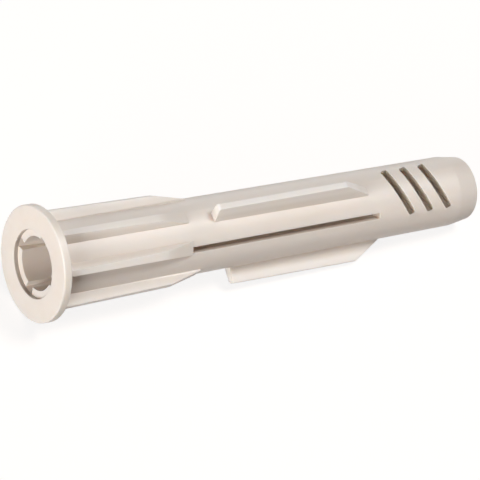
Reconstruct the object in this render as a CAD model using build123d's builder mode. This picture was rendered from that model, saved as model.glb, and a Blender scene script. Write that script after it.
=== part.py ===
"""Universal wall plug: one moulding with a collar, ribbed neck, slotted shaft, fins and cut tip."""

import os
from math import cos, radians, sin, tan

from build123d import *

# Each piece is drawn standing on its axis, Z, with the collar's seat at Z = 0 and the tip above it.
# Turns about the axis start at the side that faces up once the plug lies down, and go towards the front.

# Overall length, and the collar that stops the plug at the wall
plug_length = 51.0
collar_diameter = 11.6
collar_thickness = 0.9
collar_face_round = 0.15
collar_seat_round = 0.12

# Outside of the tube
shaft_diameter_at_collar = 7.8
shaft_diameter_at_tip = 7.0
tip_length = 2.33
tip_end_diameter = 6.3
tip_end_round = 0.25

# Inside of the tube, from the recess in the collar to the open tip
recess_diameter = 6.8
recess_depth = 0.5
recess_edge_round = 0.12
bore_diameter = 5.4
bore_straight = 3.2
neck_bore_end_diameter = 4.6
neck_bore_end = 15.0
throat_length = 3.0
core_bore_diameter = 3.0
tip_bore_diameter = 2.2

# Guide grooves that lead the screw in, and run out in the neck
groove_count = 4
groove_arc = 19.0
groove_runout = 12.0
groove_turn_past_fin = -19.6

# Neck ribs, every other one long. They are evenly spaced, but the one that would run into a slot
# stands a little to its side.
rib_count = 7
rib_land_width = 0.58
rib_root_width = 1.34
rib_diameter_at_collar = 9.92
rib_diameter_at_ramp = 9.2
rib_ramp_length = 3.4
rib_short_end = 15.2
rib_long_end = 16.8
rib_edge_round = 0.1
rib_knee_round = 2.0
rib_turn_off_slot = -3.2

# Fins that stop the plug from turning. They are staggered along it and lean to one side.
# The first fin's turn is how far the whole plug has rolled as it lies.
fin_land_width = 0.72
fin_root_width = 0.95
fin_diameter = 10.7
fin_lean = 10.0
fin_starts = (18.15, 21.35, 19.75)
fin_ends_to_tip = (13.5, 10.9, 12.2)
fin_ramp_length = 3.1
fin_edge_round = 0.12
fin_front_round = 0.3
fin_knee_round = 0.6
fin_turn = 13.0

# Long slots that let the shaft spread
slot_count = 3
slot_width = 0.62
slot_end_to_tip = 12.4
slot_turn_past_fin = 48.0

# Slanting slots across the tip, in groups that face away from each other.
# They are raked: each goes in towards the tip, which leaves barbs that point back.
tip_slot_groups = 2
tip_slot_count = 3
tip_slot_pitch = 2.25
tip_slot_to_tip = 5.26
tip_slot_width = 0.76
tip_slot_length = 5.1
tip_slot_lean = 18.2
tip_slot_rake = 28.0
tip_slot_corner = 0.22
tip_slot_floor = 1.0
tip_slot_turn_past_fin = 11.0

# Ribs and fins start this far inside the wall, and end in a step this high
root_bury = 0.5
foot_step = 0.06

face_z = -collar_thickness
recess_z = face_z + recess_depth
bore_straight_z = recess_z + bore_straight
throat_z = neck_bore_end + throat_length
tip_z = plug_length - collar_thickness
shoulder_z = tip_z - tip_length
slot_start = rib_short_end
slot_end = tip_z - slot_end_to_tip
slot_turn = fin_turn + slot_turn_past_fin
groove_turn = fin_turn + groove_turn_past_fin
tip_slot_turn = fin_turn + tip_slot_turn_past_fin


def shaft_radius(z):
    """Outer radius of the tapered shaft at a height."""
    taper = (shaft_diameter_at_collar - shaft_diameter_at_tip) / shoulder_z
    return (shaft_diameter_at_collar - taper * z) / 2


def neck_bore_radius(z):
    """Radius of the neck's bore at a height, past its straight stretch."""
    taper = (bore_diameter - neck_bore_end_diameter) / (neck_bore_end - bore_straight_z)
    return (bore_diameter - taper * (z - bore_straight_z)) / 2


# Tube and collar: half of the section, turned about the axis
with BuildPart() as tube:
    with BuildSketch(Plane.XZ):
        with BuildLine():
            Polyline(
                (bore_diameter / 2, recess_z),
                (recess_diameter / 2, recess_z),
                (recess_diameter / 2, face_z),
                (collar_diameter / 2, face_z),
                (collar_diameter / 2, 0),
                (shaft_radius(0), 0),
                (shaft_radius(shoulder_z), shoulder_z),
                (tip_end_diameter / 2, tip_z),
                (tip_bore_diameter / 2, tip_z),
                (core_bore_diameter / 2, throat_z),
                (neck_bore_end_diameter / 2, neck_bore_end),
                (bore_diameter / 2, bore_straight_z),
                close=True,
            )
        make_face()
    revolve(axis=Axis.Z)
    rings = tube.edges().filter_by(GeomType.CIRCLE)
    face_rim, seat_rim = rings.sort_by(SortBy.RADIUS)[-2:].sort_by(Axis.Z)
    recess_rim = rings.group_by(Axis.Z)[0].sort_by(SortBy.RADIUS)[0]
    tip_rim = rings.group_by(Axis.Z)[-1].sort_by(SortBy.RADIUS)[-1]
    fillet(face_rim, radius=collar_face_round)
    fillet(seat_rim, radius=collar_seat_round)
    fillet(recess_rim, radius=recess_edge_round)
    fillet(tip_rim, radius=tip_end_round)


# Guide groove: a wedge cut from the recess, whose floor runs out into the bore
with BuildPart() as groove:
    with BuildSketch(Plane.XZ):
        with BuildLine():
            Polyline(
                (neck_bore_radius(groove_runout) - root_bury, recess_z),
                (recess_diameter / 2, recess_z),
                (neck_bore_radius(groove_runout), groove_runout),
                (neck_bore_radius(groove_runout) - root_bury, groove_runout),
                close=True,
            )
        make_face()
    revolve(axis=Axis.Z, revolution_arc=groove_arc)


def drafted_section(root_radius, land_radius, root_width, land_width, edge_round, lean=0):
    """Section across a rib or fin: a root inside the wall, drafted flanks and a rounded land."""
    root_aside = (land_radius - root_radius) * tan(radians(lean))
    bury_aside = root_aside + root_bury * tan(radians(lean))
    with BuildSketch() as section:
        with BuildLine():
            Polyline(
                (root_radius - root_bury, bury_aside - root_width / 2),
                (root_radius, root_aside - root_width / 2),
                (land_radius, -land_width / 2),
                (land_radius, land_width / 2),
                (root_radius, root_aside + root_width / 2),
                (root_radius - root_bury, bury_aside + root_width / 2),
                close=True,
            )
        make_face()
        fillet(section.vertices().group_by(Axis.X)[-1], radius=edge_round)
    return section.sketch


def neck_rib(end_z):
    """A rib from the collar's seat to the foot of its ramp: its section, cut to its side view."""
    ramp_z = end_z - rib_ramp_length
    foot = shaft_radius(end_z) + foot_step
    land = rib_diameter_at_collar / 2
    with BuildPart() as rib:
        section = drafted_section(shaft_radius(0), land, rib_root_width, rib_land_width, rib_edge_round)
        extrude(section, amount=end_z)
        with BuildSketch(Plane.XZ) as side:
            with BuildLine():
                Polyline(
                    (foot - root_bury, 0),
                    (land, 0),
                    (rib_diameter_at_ramp / 2, ramp_z),
                    (foot, end_z),
                    (foot - root_bury, end_z),
                    close=True,
                )
            make_face()
            fillet(side.vertices().group_by(Axis.Y)[1], radius=rib_knee_round)
        extrude(amount=rib_root_width, both=True, mode=Mode.INTERSECT)
    return rib.part


def fin(start_z, end_z):
    """A fin with an upright front, a level land and a long ramp down: its section, cut to its side view."""
    ramp_z = end_z - fin_ramp_length
    foot = shaft_radius(end_z) + foot_step
    land = fin_diameter / 2
    with BuildPart() as blade:
        section = drafted_section(
            shaft_radius(start_z), land, fin_root_width, fin_land_width, fin_edge_round, fin_lean
        )
        extrude(section, amount=end_z)
        with BuildSketch(Plane.XZ) as side:
            with BuildLine():
                Polyline(
                    (foot - root_bury, start_z),
                    (land, start_z),
                    (land, ramp_z),
                    (foot, end_z),
                    (foot - root_bury, end_z),
                    close=True,
                )
            make_face()
            fillet(side.vertices().group_by(Axis.X)[-1].sort_by(Axis.Y)[0], radius=fin_front_round)
            fillet(side.vertices().group_by(Axis.X)[-1].sort_by(Axis.Y)[-1], radius=fin_knee_round)
        extrude(amount=land, both=True, mode=Mode.INTERSECT)
    return blade.part


# Slanting slots of the tip: one group, cut as far in as the bore
rake = radians(tip_slot_rake)
with BuildPart() as tip_slots:
    for slot in range(tip_slot_count):
        mouth_z = tip_z - tip_slot_to_tip - slot * tip_slot_pitch
        slot_depth = shaft_radius(mouth_z) - tip_slot_floor
        floor = Plane(
            origin=(tip_slot_floor, 0, mouth_z + slot_depth * tan(rake)),
            x_dir=(0, 1, 0),
            z_dir=(cos(rake), 0, -sin(rake)),
        )
        with BuildSketch(floor):
            RectangleRounded(tip_slot_length, tip_slot_width, tip_slot_corner, rotation=tip_slot_lean)
        extrude(amount=shaft_radius(0) / cos(rake))


# The whole plug, laid on its side: its axis points along X, towards the tip
lying = Plane(origin=(0, 0, 0), x_dir=(0, 0, 1), z_dir=(1, 0, 0))
with BuildPart(lying) as wall_plug:
    add(tube.part)
    for place in range(rib_count):
        rib_end = rib_long_end if place % 2 else rib_short_end
        rib_turn = slot_turn + place * 360 / rib_count + (0 if place else rib_turn_off_slot)
        with PolarLocations(0, 1, start_angle=rib_turn):
            add(neck_rib(rib_end))
    for place, (start, end_to_tip) in enumerate(zip(fin_starts, fin_ends_to_tip)):
        with PolarLocations(0, 1, start_angle=fin_turn + place * 360 / len(fin_starts)):
            add(fin(start, tip_z - end_to_tip))
    with PolarLocations(0, groove_count, start_angle=groove_turn - groove_arc / 2):
        add(groove.part, mode=Mode.SUBTRACT)
    with PolarLocations(0, slot_count, start_angle=slot_turn):
        with Locations((0, 0, slot_start)):
            Box(
                shaft_diameter_at_collar,
                slot_width,
                slot_end - slot_start,
                align=(Align.MIN, Align.CENTER, Align.MIN),
                mode=Mode.SUBTRACT,
            )
    with PolarLocations(0, tip_slot_groups, start_angle=tip_slot_turn):
        add(tip_slots.part, mode=Mode.SUBTRACT)
wall_plug.part.label = "wall_plug"

os.makedirs("parts", exist_ok=True)
export_step(wall_plug.part, "parts/wall_plug.step")
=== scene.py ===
"""Looks for a universal wall plug: one satin plastic moulding, lying on a pale studio floor."""

from math import atan2, cos, radians, sin

import bpy
from mathutils import Euler, Matrix, Vector

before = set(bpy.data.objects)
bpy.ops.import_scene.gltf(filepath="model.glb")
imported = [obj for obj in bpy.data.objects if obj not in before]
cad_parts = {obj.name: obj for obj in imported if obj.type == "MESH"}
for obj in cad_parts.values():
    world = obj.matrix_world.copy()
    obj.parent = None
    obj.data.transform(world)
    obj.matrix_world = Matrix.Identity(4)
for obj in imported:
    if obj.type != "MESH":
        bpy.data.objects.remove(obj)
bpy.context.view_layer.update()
scene = bpy.context.scene


# Camera
# A long lens on the plug's collar side, looking down on it as it lies. The camera is rolled, so that
# the plug points to the right in the picture and a little up.

view_azimuth, view_elevation, view_roll = radians(-45.876), radians(40.832), radians(23.781)
view_distance = 0.59106
view_aim = Vector((0.02303, -0.00097, -0.00078))
view_lens = 450.0


def seen_from(azimuth, elevation):
    """Unit vector towards a viewer: azimuth 0 is the front, and it grows towards the tip's side."""
    return Vector((sin(azimuth) * cos(elevation), -cos(azimuth) * cos(elevation), sin(elevation)))


camera_data = bpy.data.cameras.new("camera")
camera_data.lens = view_lens
camera = bpy.data.objects.new("camera", camera_data)
level = Euler((radians(90) - view_elevation, 0, view_azimuth)).to_matrix()
camera.matrix_world = (level @ Matrix.Rotation(view_roll, 3, "Z")).to_4x4()
camera.location = view_aim + view_distance * seen_from(view_azimuth, view_elevation)
scene.collection.objects.link(camera)
scene.camera = camera


# Wall plug
# One injection moulding in natural, uncoloured nylon: a warm cream that lets a little light in.
# The mould gives it a fine satin grain, and the melt leaves faint streaks along the shaft.

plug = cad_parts["wall_plug"]

nylon_cream = (0.87, 0.785, 0.71, 1.0)
nylon_warm = (0.81, 0.705, 0.61, 1.0)
nylon_satin, nylon_polish = 0.46, 0.34
nylon_ior = 1.53
light_let_in = 0.4
light_spread = (1.0, 0.8, 0.6)
light_reach = 0.001

nylon = bpy.data.materials.new("natural_nylon")
nylon.use_nodes = True
nodes, links = nylon.node_tree.nodes, nylon.node_tree.links
surface = nodes["Principled BSDF"]
surface.inputs["IOR"].default_value = nylon_ior
surface.inputs["Subsurface Weight"].default_value = light_let_in
surface.inputs["Subsurface Radius"].default_value = light_spread
surface.inputs["Subsurface Scale"].default_value = light_reach

rising, falling = (0.0, 1.0), (1.0, 0.0)


def between(value, limits, ends=rising, smooth=False):
    """Turns a value's way between two limits into a number that goes from one end to the other."""
    way = nodes.new("ShaderNodeMapRange")
    if smooth:
        way.interpolation_type = "SMOOTHSTEP"
    way.inputs["From Min"].default_value, way.inputs["From Max"].default_value = limits
    way.inputs["To Min"].default_value, way.inputs["To Max"].default_value = ends
    links.new(value, way.inputs["Value"])
    return way.outputs["Result"]


def combined(operation, first, second):
    """Makes one number out of two."""
    pair = nodes.new("ShaderNodeMath")
    pair.operation = operation
    links.new(first, pair.inputs[0])
    links.new(second, pair.inputs[1])
    return pair.outputs["Value"]


def laid_over(under, over, mask):
    """Lays one colour over another where the mask is 1. Each may be a plain tone or a socket."""
    mix = nodes.new("ShaderNodeMix")
    mix.data_type = "RGBA"
    for side, colour in (("A", under), ("B", over)):
        if isinstance(colour, tuple):
            mix.inputs[side].default_value = colour
        else:
            links.new(colour, mix.inputs[side])
    links.new(mask, mix.inputs["Factor"])
    return mix.outputs["Result"]


place = nodes.new("ShaderNodeTexCoord")

# The streaks are noise, drawn out along the shaft.
streak_stretch = (0.12, 1.0, 1.0)
streak_scale, streak_detail = 520.0, 4.0
streak_limits, streak_most = (0.45, 0.8), 0.5

stretched = nodes.new("ShaderNodeMapping")
stretched.inputs["Scale"].default_value = streak_stretch
links.new(place.outputs["Object"], stretched.inputs["Vector"])
streaks = nodes.new("ShaderNodeTexNoise")
streaks.inputs["Scale"].default_value = streak_scale
streaks.inputs["Detail"].default_value = streak_detail
links.new(stretched.outputs["Vector"], streaks.inputs["Vector"])
streak_share = between(streaks.outputs["Fac"], streak_limits, (0.0, streak_most))
skin_colour = laid_over(nylon_cream, nylon_warm, streak_share)

# From the neck's end to the tip's end face, the walls below the skin get painted colour: a paler tone
# as painted light in the bore and the tip slots, where little light reaches, and a darker tone as
# painted shade on the side walls of the long slots near their mouths. Each pair of limits says where a
# mask starts to change and where it ends.
painted_cut_light = (0.95, 0.87, 0.79, 1.0)
painted_slot_shade = (0.66, 0.555, 0.475, 1.0)
skin_radius_at_collar, skin_taper = 0.0039, 0.0083
below_skin_depths = (0.00002, 0.00012)
outward_facings = (0.55, 0.8)
neck_end_places = (0.012, 0.0155)
tip_face_places = (0.0490, 0.0496)
side_facings = (-0.8, -0.5)
mouth_depths = (0.0007, 0.0012)
tip_slot_places = (0.0379, 0.0382)

spot = nodes.new("ShaderNodeSeparateXYZ")
links.new(place.outputs["Object"], spot.inputs["Vector"])
along = spot.outputs["X"]
across = nodes.new("ShaderNodeCombineXYZ")
links.new(spot.outputs["Y"], across.inputs["Y"])
links.new(spot.outputs["Z"], across.inputs["Z"])
off_axis = nodes.new("ShaderNodeVectorMath")
off_axis.operation = "LENGTH"
links.new(across.outputs["Vector"], off_axis.inputs[0])
radius = off_axis.outputs["Value"]
skin = nodes.new("ShaderNodeMath")
skin.operation = "MULTIPLY_ADD"
skin.inputs[1].default_value = -skin_taper
skin.inputs[2].default_value = skin_radius_at_collar
links.new(along, skin.inputs[0])
depth = combined("SUBTRACT", skin.outputs["Value"], radius)

outwards = nodes.new("ShaderNodeVectorMath")
outwards.operation = "NORMALIZE"
links.new(across.outputs["Vector"], outwards.inputs[0])
turned = nodes.new("ShaderNodeVectorMath")
turned.operation = "DOT_PRODUCT"
links.new(outwards.outputs["Vector"], turned.inputs[0])
links.new(place.outputs["Normal"], turned.inputs[1])
facing = turned.outputs["Value"]

below_skin = between(depth, below_skin_depths, smooth=True)
turned_in = between(facing, outward_facings, falling, smooth=True)
past_neck = between(along, neck_end_places, smooth=True)
before_tip_face = between(along, tip_face_places, falling, smooth=True)
on_wall = combined("MULTIPLY", below_skin, turned_in)
on_shaft = combined("MULTIPLY", past_neck, before_tip_face)
in_cut = combined("MULTIPLY", on_wall, on_shaft)

on_side = between(facing, side_facings)
near_skin = between(depth, mouth_depths, falling)
before_tip_slots = between(along, tip_slot_places, falling)
side_mouth = combined("MULTIPLY", on_side, near_skin)
slot_mouth = combined("MULTIPLY", side_mouth, before_tip_slots)
# Painted light on the walls of the cuts, with painted shade at the long slots' mouths.
painted_cut_colour = laid_over(painted_cut_light, painted_slot_shade, slot_mouth)
with_painted_cuts = laid_over(skin_colour, painted_cut_colour, in_cut)

# The ribs and fins get a paler tone the higher they stand: a painted highlight on their lands.
painted_land_light = (0.96, 0.87, 0.80, 1.0)
painted_land_radii = (0.0042, 0.0048)
seat_places = (0.0001, 0.0004)

raised = between(radius, painted_land_radii, smooth=True)
past_seat = between(along, seat_places)
painted_land_share = combined("MULTIPLY", raised, past_seat)
with_painted_lands = laid_over(with_painted_cuts, painted_land_light, painted_land_share)

# The ring of wall in the collar's recess gets a dark tone: painted shade.
painted_recess_shade = (0.46, 0.40, 0.35, 1.0)
recess_facings = (-0.9, -0.5)
recess_floor_places = (-0.00046, -0.00042)

inwards = between(facing, recess_facings, falling)
before_floor = between(along, recess_floor_places, falling)
recess_wall = combined("MULTIPLY", inwards, before_floor)
with_painted_recess_shade = laid_over(with_painted_lands, painted_recess_shade, recess_wall)
links.new(with_painted_recess_shade, surface.inputs["Base Color"])

# The surface is satin, a little glossier in the streaks, with the grain that the mould leaves.
grain_scale, grain_detail = 7000.0, 2.0
grain_strength, grain_height = 0.25, 0.00002

roughness = between(streaks.outputs["Fac"], rising, (nylon_satin, nylon_polish))
links.new(roughness, surface.inputs["Roughness"])
grain = nodes.new("ShaderNodeTexNoise")
grain.inputs["Scale"].default_value = grain_scale
grain.inputs["Detail"].default_value = grain_detail
links.new(place.outputs["Object"], grain.inputs["Vector"])
grain_bump = nodes.new("ShaderNodeBump")
grain_bump.inputs["Strength"].default_value = grain_strength
grain_bump.inputs["Distance"].default_value = grain_height
links.new(grain.outputs["Fac"], grain_bump.inputs["Height"])
links.new(grain_bump.outputs["Normal"], surface.inputs["Normal"])

for slot in plug.material_slots:
    slot.material = nylon


# Floor
# A wide pale sheet that the plug lies on. It leans by the plug's own lean, from the rim of its collar
# down to the rim of its tip, so that both touch it. Its paper shows white and keeps the plug's shadow.

collar_rim = Vector((-0.0002, 0, -0.0058))
tip_rim = Vector((0.04777, 0, -0.0035))
floor_half = 3.0
floor_lean = atan2(tip_rim.z - collar_rim.z, tip_rim.x - collar_rim.x)
paper_tone = (0.24, 0.205, 0.18, 1.0)
paper_roughness = 0.9
paper_glow = 0.85
white = (1.0, 1.0, 1.0, 1.0)

floor_mesh = bpy.data.meshes.new("floor")
corners = [(x, y, 0) for x, y in ((-1, -1), (1, -1), (1, 1), (-1, 1))]
floor_mesh.from_pydata([Vector(corner) * floor_half for corner in corners], [], [(0, 1, 2, 3)])
floor = bpy.data.objects.new("floor", floor_mesh)
floor.location = collar_rim
floor.rotation_euler = (0, -floor_lean, 0)
scene.collection.objects.link(floor)


def where_seen():
    """1 for a ray that shows the background: one from the camera, a gloss or a clear material."""
    ray = nodes.new("ShaderNodeLightPath")
    plain_or_glossy = combined("MAXIMUM", ray.outputs["Is Camera Ray"], ray.outputs["Is Glossy Ray"])
    return combined("MAXIMUM", plain_or_glossy, ray.outputs["Is Transmission Ray"])


floor_paper = bpy.data.materials.new("pale_paper")
floor_paper.use_nodes = True
nodes, links = floor_paper.node_tree.nodes, floor_paper.node_tree.links
paper = nodes["Principled BSDF"]
paper.inputs["Base Color"].default_value = paper_tone
paper.inputs["Roughness"].default_value = paper_roughness
paper.inputs["Specular IOR Level"].default_value = 0.0
paper.inputs["Emission Color"].default_value = white
links.new(between(where_seen(), rising, (0.0, paper_glow)), paper.inputs["Emission Strength"])
floor_mesh.materials.append(floor_paper)


# Studio light
# Four soft lamps and a dim sky. The key lamp hangs high over the tip's side. Two stand low, before the
# collar and between it and the camera, and light its face, the bore and the near flanks. A weak one
# stands low behind, so that the far side isn't dark.

lamp_target = Vector((0.025, 0, 0))
lamp_reach = 0.6
lamp_width = 0.22


def soft_lamp(name, azimuth, elevation, power):
    """A square soft lamp that faces the plug from one direction."""
    lamp_data = bpy.data.lights.new(name, "AREA")
    lamp_data.size = lamp_width
    lamp_data.energy = power
    lamp = bpy.data.objects.new(name, lamp_data)
    towards = seen_from(radians(azimuth), radians(elevation))
    lamp.location = lamp_target + lamp_reach * towards
    lamp.rotation_euler = towards.to_track_quat("Z", "Y").to_euler()
    scene.collection.objects.link(lamp)


soft_lamp("key_lamp", azimuth=58.8, elevation=69.5, power=2.35)
soft_lamp("collar_lamp", azimuth=-80.7, elevation=6.7, power=1.85)
soft_lamp("front_lamp", azimuth=-58.7, elevation=5.8, power=1.8)
soft_lamp("back_lamp", azimuth=150.0, elevation=3.0, power=0.35)

# The sky is white where it is seen, and dim where it lights the plug.
sky_dim, sky_white = 0.015, 1.0

sky = bpy.data.worlds.new("sky")
sky.use_nodes = True
scene.world = sky
nodes, links = sky.node_tree.nodes, sky.node_tree.links
sky_light = nodes["Background"]
sky_light.inputs["Color"].default_value = white
links.new(between(where_seen(), rising, (sky_dim, sky_white)), sky_light.inputs["Strength"])

scene.view_settings.view_transform = "Standard"
